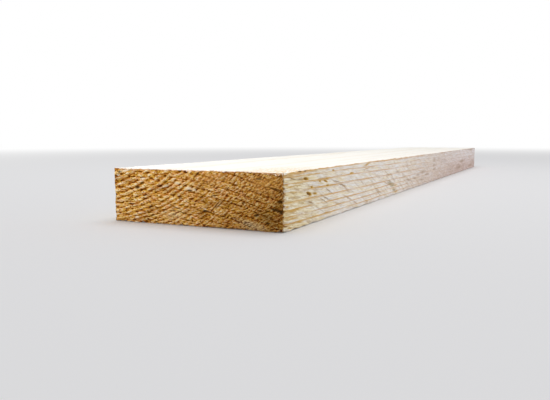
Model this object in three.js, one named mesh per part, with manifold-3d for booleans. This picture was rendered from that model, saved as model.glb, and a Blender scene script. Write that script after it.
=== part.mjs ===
// A rough-sawn softwood plank lying flat: one length of timber with six sawn faces.
// Sizes are in millimetres. +X runs along the grain, +Y across the width and +Z up through the
// thickness. The origin is the middle of the underside. The "near" end is at -X and the "front"
// narrow edge is at -Y: those two faces and the upper face meet at the near corner.

import * as THREE from 'three';
import { mergeVertices } from 'three/addons/utils/BufferGeometryUtils.js';
import Module from 'manifold-3d';

// ---- driving dimensions

// The sawn size that the plank is sold in.
const LENGTH = 1200;
const WIDTH = 175;
const THICKNESS = 50;

// Handling rounds the four long arrises a little, and the saw leaves the end arrises sharper.
const ARRIS_RADIUS = 0.6;
const END_ARRIS_BEVEL = 0.25;

// Where the saw tore the grain of the front edge, it left shallow hollows. Each starts level with
// the face and drops towards the far end, because the fibres lifted before they snapped.
// fromEnd is measured from the near end and below from the upper face, both to the middle.
const TEAR_SLOPE = THREE.MathUtils.degToRad(3);
const TORN_HOLLOWS = [
  { fromEnd: 47, below: 8, length: 9, height: 2.4, depth: 1.2 },
  { fromEnd: 55, below: 22, length: 12, height: 5, depth: 1.8 },
  { fromEnd: 61, below: 16.4, length: 6, height: 1.8, depth: 0.8 },
  { fromEnd: 69, below: 24, length: 11, height: 2, depth: 1 },
  { fromEnd: 82, below: 12.6, length: 5, height: 2, depth: 0.9 },
  { fromEnd: 97, below: 14, length: 12, height: 3.6, depth: 1.3 },
  { fromEnd: 102, below: 18.4, length: 7, height: 2.2, depth: 0.9 },
  { fromEnd: 118, below: 4, length: 9, height: 1.8, depth: 0.9 },
  { fromEnd: 176, below: 10, length: 21, height: 2.6, depth: 0.9 },
  { fromEnd: 350, below: 33, length: 26, height: 7, depth: 0.8 },
];

// Splinters that came away from the front edge's upper and lower arris.
const ARRIS_SPLINTERS = [
  { fromEnd: 14, arris: 'upper', length: 20, depth: 1.5 },
  { fromEnd: 66, arris: 'upper', length: 15, depth: 1 },
  { fromEnd: 152, arris: 'upper', length: 26, depth: 0.9 },
  { fromEnd: 318, arris: 'upper', length: 34, depth: 1 },
  { fromEnd: 22, arris: 'lower', length: 16, depth: 1.1 },
  { fromEnd: 190, arris: 'lower', length: 28, depth: 0.9 },
];

// The saw left the upper arris of the near end ragged: short breaks, one after another.
const BREAK_PITCH = 8;
const BREAK_LENGTH = 6;
const BREAK_DEPTH = 1;

// The upright arris at the near corner was knocked off at its top and nicked lower down.
const CORNER_KNOCKS = [
  { below: 0, height: 9, depth: 2.2 },
  { below: 20, height: 8, depth: 0.8 },
  { below: 38, height: 10, depth: 1 },
];

// ---- places worked out from the sizes

const NEAR_END = -LENGTH / 2;
const FRONT = -WIDTH / 2;
const UPPER = THICKNESS;
const LOWER = 0;

// ---- solids

const wasm = await Module();
wasm.setup();

function solidFrom(geometry) {
  const bare = geometry.clone();
  bare.deleteAttribute('normal');
  bare.deleteAttribute('uv');
  const merged = mergeVertices(bare, 1e-5);
  return new wasm.Manifold(new wasm.Mesh({
    numProp: 3,
    vertProperties: new Float32Array(merged.attributes.position.array),
    triVerts: new Uint32Array(merged.index.array),
  }));
}

function geometryFrom(solid) {
  const mesh = solid.getMesh();
  const geometry = new THREE.BufferGeometry();
  geometry.setAttribute('position', new THREE.BufferAttribute(mesh.vertProperties, mesh.numProp));
  geometry.setIndex(new THREE.BufferAttribute(mesh.triVerts, 1));
  geometry.computeVertexNormals();
  return geometry;
}

// The section with its four rounded arrises, drawn across the grain.
function plankSection() {
  const right = WIDTH / 2 - ARRIS_RADIUS;
  const top = THICKNESS - ARRIS_RADIUS;
  const bottom = ARRIS_RADIUS;
  const section = new THREE.Shape();
  section.absarc(right, bottom, ARRIS_RADIUS, -Math.PI / 2, 0);
  section.absarc(right, top, ARRIS_RADIUS, 0, Math.PI / 2);
  section.absarc(-right, top, ARRIS_RADIUS, Math.PI / 2, Math.PI);
  section.absarc(-right, bottom, ARRIS_RADIUS, Math.PI, Math.PI * 1.5);
  section.closePath();
  return section;
}

// The plank as it leaves the saw: its section run out along the grain, with both ends eased.
function sawnBlank() {
  const blank = new THREE.ExtrudeGeometry(plankSection(), {
    depth: LENGTH - 2 * END_ARRIS_BEVEL,
    curveSegments: 3,
    bevelEnabled: true,
    bevelSegments: 1,
    bevelSize: END_ARRIS_BEVEL,
    bevelOffset: -END_ARRIS_BEVEL,
    bevelThickness: END_ARRIS_BEVEL,
  });
  const acrossWidth = new THREE.Vector3(0, 1, 0);
  const throughThickness = new THREE.Vector3(0, 0, 1);
  const alongGrain = new THREE.Vector3(1, 0, 0);
  blank.applyMatrix4(new THREE.Matrix4().makeBasis(acrossWidth, throughThickness, alongGrain));
  blank.translate(NEAR_END + END_ARRIS_BEVEL, 0, 0);
  return solidFrom(blank);
}

// A lens-shaped cutter: a ball stretched to sizeX, sizeY and sizeZ, with its middle at the origin.
function lens(sizeX, sizeY, sizeZ) {
  const ball = new THREE.SphereGeometry(0.5, 14, 8);
  ball.rotateZ(Math.PI / 2);
  ball.scale(sizeX, sizeY, sizeZ);
  return ball;
}

function tornHollow({ fromEnd, below, length, height, depth }) {
  const cutter = lens(length, 2 * depth, height);
  cutter.rotateZ(TEAR_SLOPE);
  cutter.translate(NEAR_END + fromEnd, FRONT, UPPER - below);
  return solidFrom(cutter);
}

function arrisSplinter({ fromEnd, arris, length, depth }) {
  const cutter = lens(length, 2 * depth, 2 * depth);
  cutter.translate(NEAR_END + fromEnd, FRONT, arris === 'upper' ? UPPER : LOWER);
  return solidFrom(cutter);
}

// The breaks vary in length and depth along the arris by two waves that don't keep step.
function endBreaks() {
  const count = Math.floor(WIDTH / BREAK_PITCH);
  const margin = (WIDTH - count * BREAK_PITCH) / 2;
  const breaks = [];
  for (let i = 0; i < count; i += 1) {
    const long = BREAK_LENGTH * (1 + 0.25 * Math.sin(2.4 * i));
    const deep = BREAK_DEPTH * (1 + 0.35 * Math.cos(3.7 * i));
    const cutter = lens(2 * deep, long, deep);
    cutter.translate(NEAR_END, FRONT + margin + (i + 0.5) * BREAK_PITCH, UPPER);
    breaks.push(solidFrom(cutter));
  }
  return breaks;
}

function cornerKnock({ below, height, depth }) {
  const cutter = lens(2 * depth, 2 * depth, height);
  cutter.translate(NEAR_END, FRONT, UPPER - below);
  return solidFrom(cutter);
}

function plankGeometry() {
  const cutters = [
    ...TORN_HOLLOWS.map(tornHollow),
    ...ARRIS_SPLINTERS.map(arrisSplinter),
    ...endBreaks(),
    ...CORNER_KNOCKS.map(cornerKnock),
  ];
  const worn = cutters.reduce((solid, cutter) => solid.subtract(cutter), sawnBlank());
  return geometryFrom(worn);
}

// ---- the finished part

const sawnSoftwood = new THREE.MeshStandardMaterial({
  color: 0xdccaa9,
  roughness: 0.85,
  metalness: 0,
});

const plank = new THREE.Mesh(plankGeometry(), sawnSoftwood);
plank.name = 'plank';

const timberPlank = new THREE.Group();
timberPlank.add(plank);

export default timberPlank;
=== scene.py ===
# %% [markdown]
# # A rough-sawn plank
#
# This notebook dresses one length of rough-sawn softwood. The construction model gives the plank's
# exact box, and every place here is counted from that box. The marks and the colours on it were
# then matched by measuring, a few at a time. It goes in this order: the camera and the
# room, the blank of wood and its flat map, the marks that the saws left in it, the finishes of its
# end grain and its long sides, and last the hand-over to the frame.

# %% Load the frame
import math

import bpy
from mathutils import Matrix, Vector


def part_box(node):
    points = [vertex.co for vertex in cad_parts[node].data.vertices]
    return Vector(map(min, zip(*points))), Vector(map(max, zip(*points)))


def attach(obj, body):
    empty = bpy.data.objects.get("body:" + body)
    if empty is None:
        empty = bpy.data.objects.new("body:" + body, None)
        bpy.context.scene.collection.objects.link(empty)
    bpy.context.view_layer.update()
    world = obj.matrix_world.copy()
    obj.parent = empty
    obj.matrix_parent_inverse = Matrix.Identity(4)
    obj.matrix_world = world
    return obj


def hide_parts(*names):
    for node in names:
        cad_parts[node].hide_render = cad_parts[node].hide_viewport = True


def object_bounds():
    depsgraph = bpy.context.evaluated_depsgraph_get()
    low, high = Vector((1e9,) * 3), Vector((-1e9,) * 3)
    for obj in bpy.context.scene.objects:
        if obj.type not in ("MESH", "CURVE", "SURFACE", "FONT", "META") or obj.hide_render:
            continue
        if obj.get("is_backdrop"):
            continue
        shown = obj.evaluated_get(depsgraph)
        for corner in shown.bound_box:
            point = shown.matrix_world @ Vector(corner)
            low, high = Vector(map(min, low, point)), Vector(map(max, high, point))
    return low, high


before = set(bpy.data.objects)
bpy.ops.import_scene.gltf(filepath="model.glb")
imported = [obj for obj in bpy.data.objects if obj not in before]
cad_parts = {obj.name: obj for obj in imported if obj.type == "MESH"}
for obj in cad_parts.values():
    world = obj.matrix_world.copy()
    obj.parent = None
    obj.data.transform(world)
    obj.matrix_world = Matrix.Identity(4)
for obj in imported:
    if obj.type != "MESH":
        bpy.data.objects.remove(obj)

cad_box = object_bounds()
LOW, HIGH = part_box("plank")
print("plank from", [round(v, 4) for v in LOW], "to", [round(v, 4) for v in HIGH], "metres")

# %% [markdown]
# ## Units and helpers
#
# Blender works in metres, but a sawyer thinks in millimetres, so sizes are written in millimetres
# and multiplied by MM where Blender needs metres. One helper adds a node to a tree. The same helper
# serves the materials and the Geometry Nodes that carve the surface, because both kinds of tree
# know the same maths and noise nodes. That is what lets a growth ring be both a colour and a ridge
# at the same place.

# %% Helpers
MM = 0.001
MATH = "ShaderNodeMath"
VECTOR = "ShaderNodeVectorMath"
NOISE = "ShaderNodeTexNoise"
REMAP = "ShaderNodeMapRange"
MIX = "ShaderNodeMix"
RAMP = "ShaderNodeValToRGB"
SPLIT = "ShaderNodeSeparateXYZ"
JOIN = "ShaderNodeCombineXYZ"


def linear(hex_colour):
    """Turns an sRGB hex colour, as a paint program shows it, into the linear values Blender mixes."""
    channels = [int(hex_colour[i:i + 2], 16) / 255 for i in (1, 3, 5)]
    curve = [c / 12.92 if c <= 0.04045 else ((c + 0.055) / 1.055) ** 2.4 for c in channels]
    return (*curve, 1.0)


def add(tree, kind, *values, output=0, stops=(), **settings):
    """Adds a node and returns one of its outputs, or the node itself where output is None.

    values go to its inputs in order, and None leaves one as it is. A setting with a capital names
    an input, and any other is a property of the node. stops are the places and colours of a ramp.
    """
    node = tree.nodes.new(kind)
    for name, value in settings.items():
        if name[0].islower():
            setattr(node, name, value)
    for index, (position, colour) in enumerate(stops):
        marks = node.color_ramp.elements
        mark = marks[index] if index < len(marks) else marks.new(position)
        mark.position = position
        mark.color = linear(colour)
    inputs = list(zip([socket for socket in node.inputs if socket.enabled], values))
    capitals = [name for name in settings if name[0].isupper()]
    inputs += [(node.inputs[name.replace("_", " ")], settings[name]) for name in capitals]
    for socket, value in inputs:
        if isinstance(value, bpy.types.NodeSocket):
            tree.links.new(value, socket)
        elif value is not None:
            socket.default_value = value
    if output is None:
        return node
    if isinstance(output, str):
        return node.outputs[output]
    return [socket for socket in node.outputs if socket.enabled][output]


print("a pale wood, as Blender mixes it:", [round(value, 3) for value in linear("#F8D89E")])

# %% [markdown]
# ## The camera
#
# The plank is looked at from just beyond its near end, low down and a little to the front, so that
# the sawn end, the front edge and a sliver of the upper face all show. The camera stands where a
# person kneeling beside the stack would hold it. Its place is written from the near front corner,
# and it is turned by two angles: left or right along the plank, and down towards the floor.

# %% Camera
CAMERA_BEFORE_END = 435.1 * MM
CAMERA_BEFORE_FRONT = 200.3 * MM
CAMERA_HEIGHT = 78.8 * MM
CAMERA_TURN = math.radians(25.565)
CAMERA_DOWN = math.radians(6.096)
CAMERA_LENS = 38.78

camera_data = bpy.data.cameras.new("camera")
camera_data.lens = CAMERA_LENS
camera_data.sensor_width = 36
camera_data.clip_start = 0.01
camera = bpy.data.objects.new("camera", camera_data)
camera.location = (LOW[0] - CAMERA_BEFORE_END, LOW[1] - CAMERA_BEFORE_FRONT, CAMERA_HEIGHT)
camera.rotation_euler = (math.pi / 2 - CAMERA_DOWN, 0, CAMERA_TURN - math.pi / 2)
bpy.context.collection.objects.link(camera)
bpy.context.scene.camera = camera
print("camera at", [round(v, 4) for v in camera.location])

# %% [markdown]
# ## The room
#
# A pale floor catches the plank's soft shadow. A wide lamp hangs above, so the upper face is the
# brightest. A small one rakes across the sawn end, a larger one fills in the front edge, and the
# white world does the rest. Their strengths are set so that a colour renders about as it is written.
# In a studio, flags would keep the two small lamps off the floor, which they would spot with pools
# of light. Light linking does the same here, in the last step, when there is a plank to link to.
#
# A backdrop could be a curved sheet, as in a studio. Here the camera sees the world as plain white
# and the floor fades into it away from the plank, so there is no horizon to hide and no sheet that
# would show from behind. Near the plank the floor is a little greyer, so that pale wood stands out.

# %% World
bpy.context.scene.view_settings.view_transform = "Standard"

WORLD_LIGHT = 0.5

world = bpy.data.worlds.new("white_room")
bpy.context.scene.world = world
world.use_nodes = True
sky = world.node_tree
sky.nodes.clear()
path = add(sky, "ShaderNodeLightPath", output=None)
seen = add(sky, MATH, path.outputs["Is Camera Ray"], path.outputs["Is Glossy Ray"], operation="MAXIMUM")
strength = add(sky, REMAP, seen, To_Min=WORLD_LIGHT, To_Max=1.0)
background = add(sky, "ShaderNodeBackground", (1, 1, 1, 1), strength)
add(sky, "ShaderNodeOutputWorld", background, output=None)
print("the world lights the room with", WORLD_LIGHT, "of the white that the camera sees")


# %% Lamps
def lamp(name, power, size, place, target):
    """A square soft box of a size in metres, turned to face a target."""
    data = bpy.data.lights.new(name, "AREA")
    data.energy = power
    data.size = size
    made = bpy.data.objects.new(name, data)
    made.location = place
    across, along, down = (p - t for p, t in zip(place, target))
    made.rotation_euler = (math.atan2(math.hypot(across, along), down), 0, math.atan2(across, -along))
    bpy.context.collection.objects.link(made)
    print(f"{name}: {power} W over {size} m")


lamp("overhead", 15.1, 1.6, (0, 0, 2.0), (0, 0, 0))
lamp("raking", 6.1, 0.35, (-1.25, 0.55, 0.75), (-0.6, 0, 0.03))
lamp("front fill", 6.0, 0.9, (-0.3, -1.5, 0.5), (-0.3, 0, 0.02))

# %% Floor
FLOOR_SIZE = 14
FLOOR_FADE = 3.3

bpy.ops.mesh.primitive_plane_add(size=FLOOR_SIZE, location=(0, 0, 0))
floor = bpy.context.object
floor.name = "floor"
paint = bpy.data.materials.new("matt_white_floor_paint")
paint.use_nodes = True
tree = paint.node_tree
tree.nodes.clear()
here = add(tree, "ShaderNodeTexCoord", output="Object")
beyond = add(tree, VECTOR, here, operation="ABSOLUTE")
beyond = add(tree, VECTOR, beyond, (HIGH[0], HIGH[1], 0), operation="SUBTRACT")
beyond = add(tree, VECTOR, beyond, (0, 0, 0), operation="MAXIMUM")
beyond = add(tree, VECTOR, beyond, operation="LENGTH")
fade = add(tree, REMAP, beyond, From_Max=FLOOR_FADE, interpolation_type="SMOOTHSTEP")
seen = add(tree, "ShaderNodeLightPath", output="Is Camera Ray")
fade = add(tree, MATH, fade, seen, operation="MULTIPLY")
shade = add(tree, MIX, seen, linear("#F6F6F7"), linear("#F8F8FA"), data_type="RGBA")
matt = add(tree, "ShaderNodeBsdfDiffuse", shade)
glow = add(tree, "ShaderNodeEmission", (1, 1, 1, 1), 1.0)
add(tree, "ShaderNodeOutputMaterial", add(tree, "ShaderNodeMixShader", fade, matt, glow), output=None)
floor.data.materials.append(paint)
floor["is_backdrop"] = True
print("floor:", FLOOR_SIZE, "m wide, plain white from", FLOOR_FADE, "m beyond the plank")

# %% [markdown]
# ## The blank
#
# A plank is a box, but its marks are a part of its shape, so the finished piece needs faces small
# enough to carry them. A remesh would give it even faces and round its arrises off. Here the box is
# bevelled by half a millimetre, because a sawn arris is sharp but never a knife edge, and then
# subdivided into slices along each of its three directions. Where the marks are deepest, on the near
# end and on the front edge next to it, the faces are divided once more. That keeps the face count
# for the places that need it.

# %% Ways to slice it
X, Y, Z = 0, 1, 2
MOST_CUTS = 100
ARRIS = 0.5 * MM


def select_edges(piece, axis, start, end):
    """Selects the edges that run straight along an axis between two places on it."""
    bpy.ops.mesh.select_all(action="DESELECT")
    bpy.ops.object.mode_set(mode="OBJECT")
    points = [vertex.co for vertex in piece.data.vertices]
    for edge in piece.data.edges:
        one, other = (points[i] for i in edge.vertices)
        run = other - one
        first, last = sorted((one[axis], other[axis]))
        inside = start - ARRIS / 2 < first and last < end + ARRIS / 2
        edge.select = inside and abs(run[axis]) > 0.999 * run.length and run.length > 2 * ARRIS
    bpy.ops.object.mode_set(mode="EDIT")


def divide(piece, axis, start, end, pitch):
    """Cuts a stretch of the piece across an axis into equal slices of about the given pitch."""
    slices = max(1, round((end - start) / pitch))
    groups = math.ceil(slices / MOST_CUTS)
    normal = [float(i == axis) for i in range(3)]
    edges = [start + (end - start) * i / groups for i in range(groups + 1)]
    for place in edges[1:-1]:
        bpy.ops.mesh.select_all(action="SELECT")
        bpy.ops.mesh.bisect(plane_co=[n * place for n in normal], plane_no=normal)
    for first, last in zip(edges, edges[1:]):
        select_edges(piece, axis, first, last)
        bpy.ops.mesh.subdivide(number_cuts=round(slices / groups) - 1)


def refine(piece, axis, side, cuts, reach=1.0, beside=1.0):
    """Divides the faces on one side of the piece, up to a reach from the near end, once more."""
    bpy.ops.mesh.select_all(action="DESELECT")
    bpy.ops.object.mode_set(mode="OBJECT")
    for polygon in piece.data.polygons:
        from_end = polygon.center[X] - LOW[X]
        from_front = polygon.center[Y] - LOW[Y]
        polygon.select = polygon.normal[axis] * side > 0.99 and from_end < reach and from_front < beside
    bpy.ops.object.mode_set(mode="EDIT")
    bpy.ops.mesh.subdivide(number_cuts=cuts)

print("slicing tools ready: one subdivide makes at most", MOST_CUTS, "slices")

# %% Blank
# The stretches along the plank end 60 and 420 mm from the near end, and each has its own pitch.
NEAR_ZONE = 60 * MM
MIDDLE_ZONE = 420 * MM
NEAR_PITCH = 2.5 * MM
MIDDLE_PITCH = 3 * MM
FAR_PITCH = 9 * MM
ACROSS_PITCH = 3.5 * MM
UP_PITCH = 2.5 * MM

bpy.ops.object.select_all(action="DESELECT")
size = [high - low for low, high in zip(LOW, HIGH)]
middle = [(high + low) / 2 for low, high in zip(LOW, HIGH)]
bpy.ops.mesh.primitive_cube_add(size=1, location=middle, scale=size)
plank = bpy.context.object
plank.name = "sawn_plank"
bpy.ops.object.transform_apply(location=True, rotation=True, scale=True)
bpy.ops.object.mode_set(mode="EDIT")
bpy.ops.mesh.select_mode(type="EDGE")
bpy.ops.mesh.select_all(action="SELECT")
bpy.ops.mesh.bevel(offset=ARRIS, segments=2, affect="EDGES")
zones = [LOW[X] + ARRIS, LOW[X] + NEAR_ZONE, LOW[X] + MIDDLE_ZONE, HIGH[X] - ARRIS]
for place in zones[1:-1]:
    bpy.ops.mesh.select_all(action="SELECT")
    bpy.ops.mesh.bisect(plane_co=(place, 0, 0), plane_no=(1, 0, 0))
for first, last, pitch in zip(zones, zones[1:], (NEAR_PITCH, MIDDLE_PITCH, FAR_PITCH)):
    divide(plank, X, first, last, pitch)
divide(plank, Y, LOW[Y] + ARRIS, HIGH[Y] - ARRIS, ACROSS_PITCH)
divide(plank, Z, LOW[Z] + ARRIS, HIGH[Z] - ARRIS, UP_PITCH)
print("blank:", len(plank.data.polygons), "faces before the fine cuts")

# %% Fine cuts where the marks are
HOLLOWS_REACH = 130 * MM
ARRIS_STRIP = 8 * MM
BROKEN_STRIP = 7 * MM

bpy.ops.mesh.select_mode(type="FACE")
refine(plank, X, -1, 3)
refine(plank, Y, -1, 1, reach=MIDDLE_ZONE)
refine(plank, Y, -1, 1, reach=HOLLOWS_REACH)
refine(plank, Z, 1, 1, reach=MIDDLE_ZONE, beside=ARRIS_STRIP)
refine(plank, Z, 1, 1, reach=BROKEN_STRIP)
refine(plank, X, 1, 1)
bpy.ops.object.mode_set(mode="OBJECT")
for polygon in plank.data.polygons:
    polygon.material_index = max((X, Y, Z), key=lambda axis: abs(polygon.normal[axis]))
triangles = sum(len(polygon.vertices) - 2 for polygon in plank.data.polygons)
print("blank:", len(plank.data.polygons), "faces,", triangles, "triangles")

# %% [markdown]
# ## A flat map
#
# When the plank is exported, its finishes are baked into square pictures, and a flat map says which
# part of a picture each face gets. Smart UV Project would give all sides one scale, and a plank is so
# long that its fibres would then be thinner than a pixel. Here each long side gets a strip across the
# whole picture, stretched to suit, and the two ends share the last strip. The map that the box came
# with is renamed and laid out anew, while the blank is still smooth, so that no two faces overlap.

# %% Strips for the sides
PICTURE = 1024
MARGIN = 4 / PICTURE
STRIP_HEIGHT = {Z: 290 / PICTURE, Y: 100 / PICTURE, X: 200 / PICTURE}

strips = {}
bottom = MARGIN
for axis in (Z, Y):
    for side in (-1, 1):
        strips[axis, side] = (MARGIN, bottom, 1 - 2 * MARGIN)
        bottom += STRIP_HEIGHT[axis] + 2 * MARGIN
for side, left in ((-1, 0), (1, 0.5)):
    strips[X, side] = (left + MARGIN, bottom, 0.5 - 2 * MARGIN)

mesh = plank.data
mesh.uv_layers.active.name = "OFBake"
flat = mesh.uv_layers.active.data
for polygon in mesh.polygons:
    axis = polygon.material_index
    along = Y if axis == X else X
    up = 3 - axis - along
    left, low, wide = strips[axis, 1 if polygon.center[axis] > middle[axis] else -1]
    for loop in polygon.loop_indices:
        point = mesh.vertices[mesh.loops[loop].vertex_index].co
        run = (point[along] - LOW[along]) / size[along]
        rise = (point[up] - LOW[up]) / size[up]
        flat[loop].uv = (left + wide * run, low + STRIP_HEIGHT[axis] * rise)
print("flat map: strips end at", round(bottom + STRIP_HEIGHT[X], 3), "of the picture's height")

# %% [markdown]
# ## The grain
#
# A wood pattern could be drawn on each side by itself, but its lines would not meet at the arrises.
# Wood is a solid, so its grain is worked out as one: each point's distance from the pith, the middle
# of the tree, says which year it grew in. The pith of this plank lies far below its back edge, so
# the rings fall gently across the end towards the front. They show on the narrow edges as nearly
# straight lines and on the broad faces as long flames. Pale early wood ends each year in a thin,
# dark and hard line of late wood.
#
# The functions below take a tree and a place in millimetres, and return a socket, so a material can
# colour what they describe and Geometry Nodes can carve it.

# %% Places and noises
END_X = LOW[0] / MM
FRONT_Y = LOW[1] / MM
TOP_Z = HIGH[2] / MM


def place_in_mm(tree):
    """Each point's place in millimetres, in a material or in Geometry Nodes."""
    if tree.bl_idname == "GeometryNodeTree":
        place = add(tree, "GeometryNodeInputPosition")
    else:
        place = add(tree, "ShaderNodeTexCoord", output="Object")
    return add(tree, VECTOR, place, operation="SCALE", Scale=1 / MM)


def stretched(tree, place, cell):
    """The place counted in cells, so that a noise of scale 1 has grains of that size in millimetres."""
    return add(tree, VECTOR, place, [1 / side for side in cell], operation="MULTIPLY")


def wander(tree, place, cell, reach):
    """Each place moved by up to about half of reach, in a way that changes from cell to cell."""
    swing = add(tree, NOISE, stretched(tree, place, cell), Scale=1, Detail=2, output="Color")
    swing = add(tree, VECTOR, swing, (0.5, 0.5, 0.5), operation="SUBTRACT")
    return add(tree, VECTOR, swing, reach, place, operation="MULTIPLY_ADD")


def around(tree, place, centre_y, centre_z):
    """The distance from a line that runs along the plank."""
    part = add(tree, SPLIT, place, output=None)
    across = add(tree, MATH, part.outputs["Y"], centre_y, operation="SUBTRACT")
    above = add(tree, MATH, part.outputs["Z"], centre_z, operation="SUBTRACT")
    return add(tree, VECTOR, add(tree, JOIN, 0.0, across, above), operation="LENGTH")


print("near front top corner:", [round(side, 1) for side in (END_X, FRONT_Y, TOP_Z)], "mm")


# %% Growth rings
# The pith's place across and above the middle line of the underside, and the growth of one year.
# Good and bad summers come and go in a cycle, and the trunk gets thinner upwards by its taper. The
# first four values are in millimetres.
PITH = (87, -467)
RING = 6.01
WIDEST_RING_AT = 525.9
WIDTH_CYCLE = 32.3
WIDTH_SWAY = 0.2
FIRST_YEAR = 0.63
TAPER = 0.006
# How the rings wander, once slowly and once fast: the size of a bend and its reach.
SLOW_BEND = ((420, 70, 70), (0, 5, 5))
FAST_BEND = ((60, 7, 7), (0, 1.2, 1.2))
# The parts of a year in which the late wood darkens and in which it ends.
DARKENS = (0.66, 0.93)
ENDS = (0.94, 1.0)


def late_wood(tree, place):
    """The dark line that ends each year's growth: 1 in the line, 0 in the pale early wood."""
    bent = wander(tree, place, *SLOW_BEND)
    bent = wander(tree, bent, *FAST_BEND)
    radius = around(tree, bent, *PITH)
    part = add(tree, SPLIT, bent, output=None)
    grown = add(tree, MATH, part.outputs["X"], TAPER, radius, operation="MULTIPLY_ADD")
    sway = add(tree, MATH, radius, WIDEST_RING_AT, operation="SUBTRACT")
    sway = add(tree, MATH, sway, 2 * math.pi / WIDTH_CYCLE, operation="MULTIPLY")
    sway = add(tree, MATH, sway, operation="SINE")
    year = add(tree, MATH, grown, 1 / RING, FIRST_YEAR, operation="MULTIPLY_ADD")
    year = add(tree, MATH, sway, -WIDTH_SWAY, year, operation="MULTIPLY_ADD")
    season = add(tree, MATH, year, operation="FRACT")
    rising = add(tree, REMAP, season, From_Min=DARKENS[0], From_Max=DARKENS[1],
                 interpolation_type="SMOOTHSTEP")
    falling = add(tree, REMAP, season, From_Min=ENDS[0], From_Max=ENDS[1], To_Min=1, To_Max=0)
    return add(tree, MATH, rising, falling, operation="MULTIPLY")


print("years in the plank's thickness:", round((TOP_Z - LOW[2] / MM) / RING))

# %% [markdown]
# ## What the saws left
#
# The end was cross-cut by a large round blade that was fed downwards, fast at first and then slower.
# Its teeth tore the fibres into rows of short tufts and dragged fine scratches along their arc. The
# rows are arcs of one radius, a step of the feed apart: nearly level at the back, steep at the front,
# and wider apart at the top. The long faces were cut along the grain by a band saw, which leaves
# slanting tooth marks and lifts some fibres out of the surface.
#
# Strokes could be modelled one by one, but there are thousands. Each kind is a noise or a wave here,
# squeezed and turned to the size and direction of the mark.

# %% Rows of tufts across the end
# The blade's radius, its middle beyond the back edge, and the step between its rows in millimetres.
# The rows are packed closer than the step near the bottom, and lose a little of that per millimetre.
BLADE_RADIUS = 295
BLADE_Y = 148.5
FEED = 4.2
PACKED_AT_BOTTOM = 1.147
PACKED_LESS = -0.00567
# The length and the height of the grains in each pattern, in millimetres. A single spruce fibre is
# 0.03 mm thick, far too fine to show, so the finest grain here is a bundle of fibres.
TUFT = (5.5, 1.2)
SHORT_TUFT = (3.6, 1.1)
SCRATCH = (12, 1.0)
GRIT = (2.4, 0.8)
# The patterns together are spread out around their middle height, more so towards the front.
MIDDLE_HEIGHT = 0.46
END_GAIN = 1.42
FRONT_GAIN = 0.75


def patches(tree, along, level, size):
    """A noise whose grains have a length and a height in millimetres, from 0 to 1."""
    grain = stretched(tree, add(tree, JOIN, along, level, 0.0), (*size, 1))
    grain = add(tree, NOISE, grain, Scale=1, Detail=3, Roughness=0.62)
    return add(tree, REMAP, grain, From_Min=0.34, From_Max=0.66)


def end_height(tree, place):
    """How high the cut end stands at each point: 0 between the torn tufts, 1 on top of them."""
    part = add(tree, SPLIT, wander(tree, place, (9, 14, 9), (0, 0, 3)), output=None)
    run = add(tree, MATH, part.outputs["Y"], BLADE_Y, operation="SUBTRACT")
    sag = add(tree, MATH, run, run, operation="MULTIPLY")
    sag = add(tree, MATH, BLADE_RADIUS ** 2, sag, operation="SUBTRACT")
    sag = add(tree, MATH, sag, operation="SQRT")
    fed = add(tree, MATH, part.outputs["Z"], PACKED_LESS, PACKED_AT_BOTTOM, operation="MULTIPLY_ADD")
    fed = add(tree, MATH, fed, part.outputs["Z"], operation="MULTIPLY")
    level = add(tree, MATH, fed, sag, operation="ADD")
    flatter = add(tree, MATH, sag, 0.3, fed, operation="MULTIPLY_ADD")
    rows = add(tree, MATH, level, 2 * math.pi / FEED, operation="MULTIPLY")
    rows = add(tree, MATH, rows, operation="SINE")
    rows = add(tree, REMAP, rows, From_Min=-1, From_Max=1)
    frontal = add(tree, REMAP, part.outputs["Y"], From_Min=35, From_Max=-50, To_Max=0.7)
    tufts = patches(tree, run, flatter, TUFT)
    tufts = add(tree, MIX, frontal, tufts, patches(tree, run, flatter, SHORT_TUFT))
    height = add(tree, MIX, 0.3, tufts, patches(tree, run, level, SCRATCH))
    height = add(tree, MIX, 0.22, height, patches(tree, run, flatter, GRIT))
    strong = add(tree, NOISE, stretched(tree, place, (30, 30, 14)), Scale=1, Detail=1)
    strong = add(tree, MATH, part.outputs["Y"], 0.0035, strong, operation="MULTIPLY_ADD")
    strong = add(tree, REMAP, strong, From_Min=0.25, From_Max=0.75, To_Min=0.02, To_Max=0.32)
    height = add(tree, MIX, strong, height, rows)
    late = add(tree, MATH, late_wood(tree, place), -0.15, operation="MULTIPLY")
    height = add(tree, MATH, height, late, operation="ADD")
    height = add(tree, MATH, height, MIDDLE_HEIGHT, operation="SUBTRACT")
    gain = add(tree, MATH, frontal, FRONT_GAIN, END_GAIN, operation="MULTIPLY_ADD")
    return add(tree, MATH, height, gain, 0.5, operation="MULTIPLY_ADD", use_clamp=True)

print("rows on the end are", round(FEED / PACKED_AT_BOTTOM, 1), "mm apart at the bottom")

# %% Tooth marks and fibres on the long sides
# Sizes along the plank, across it and up, in millimetres.
TOOTH_FALL = math.radians(22.5)
TOOTH_MARK = (30, 60, 1.7)
FIBRE = (26, 0.9, 0.9)


def tooth_marks(tree, place):
    """Sparse slanting strokes on a long side, falling away from the near end. 1 is a stroke."""
    turned = add(tree, "ShaderNodeVectorRotate", place, Angle=-TOOTH_FALL, rotation_type="Y_AXIS")
    stroke = add(tree, NOISE, stretched(tree, turned, TOOTH_MARK), Scale=1, Detail=1.5)
    return add(tree, REMAP, stroke, From_Min=0.57, From_Max=0.7)


def fibres(tree, place):
    """Fine streaks along the grain, from 0 to 1, drawn as bundles of fibres just wide enough to show."""
    streak = add(tree, NOISE, stretched(tree, place, FIBRE), Scale=1, Detail=3, Roughness=0.65)
    return add(tree, REMAP, streak, From_Min=0.3, From_Max=0.7)


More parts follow.
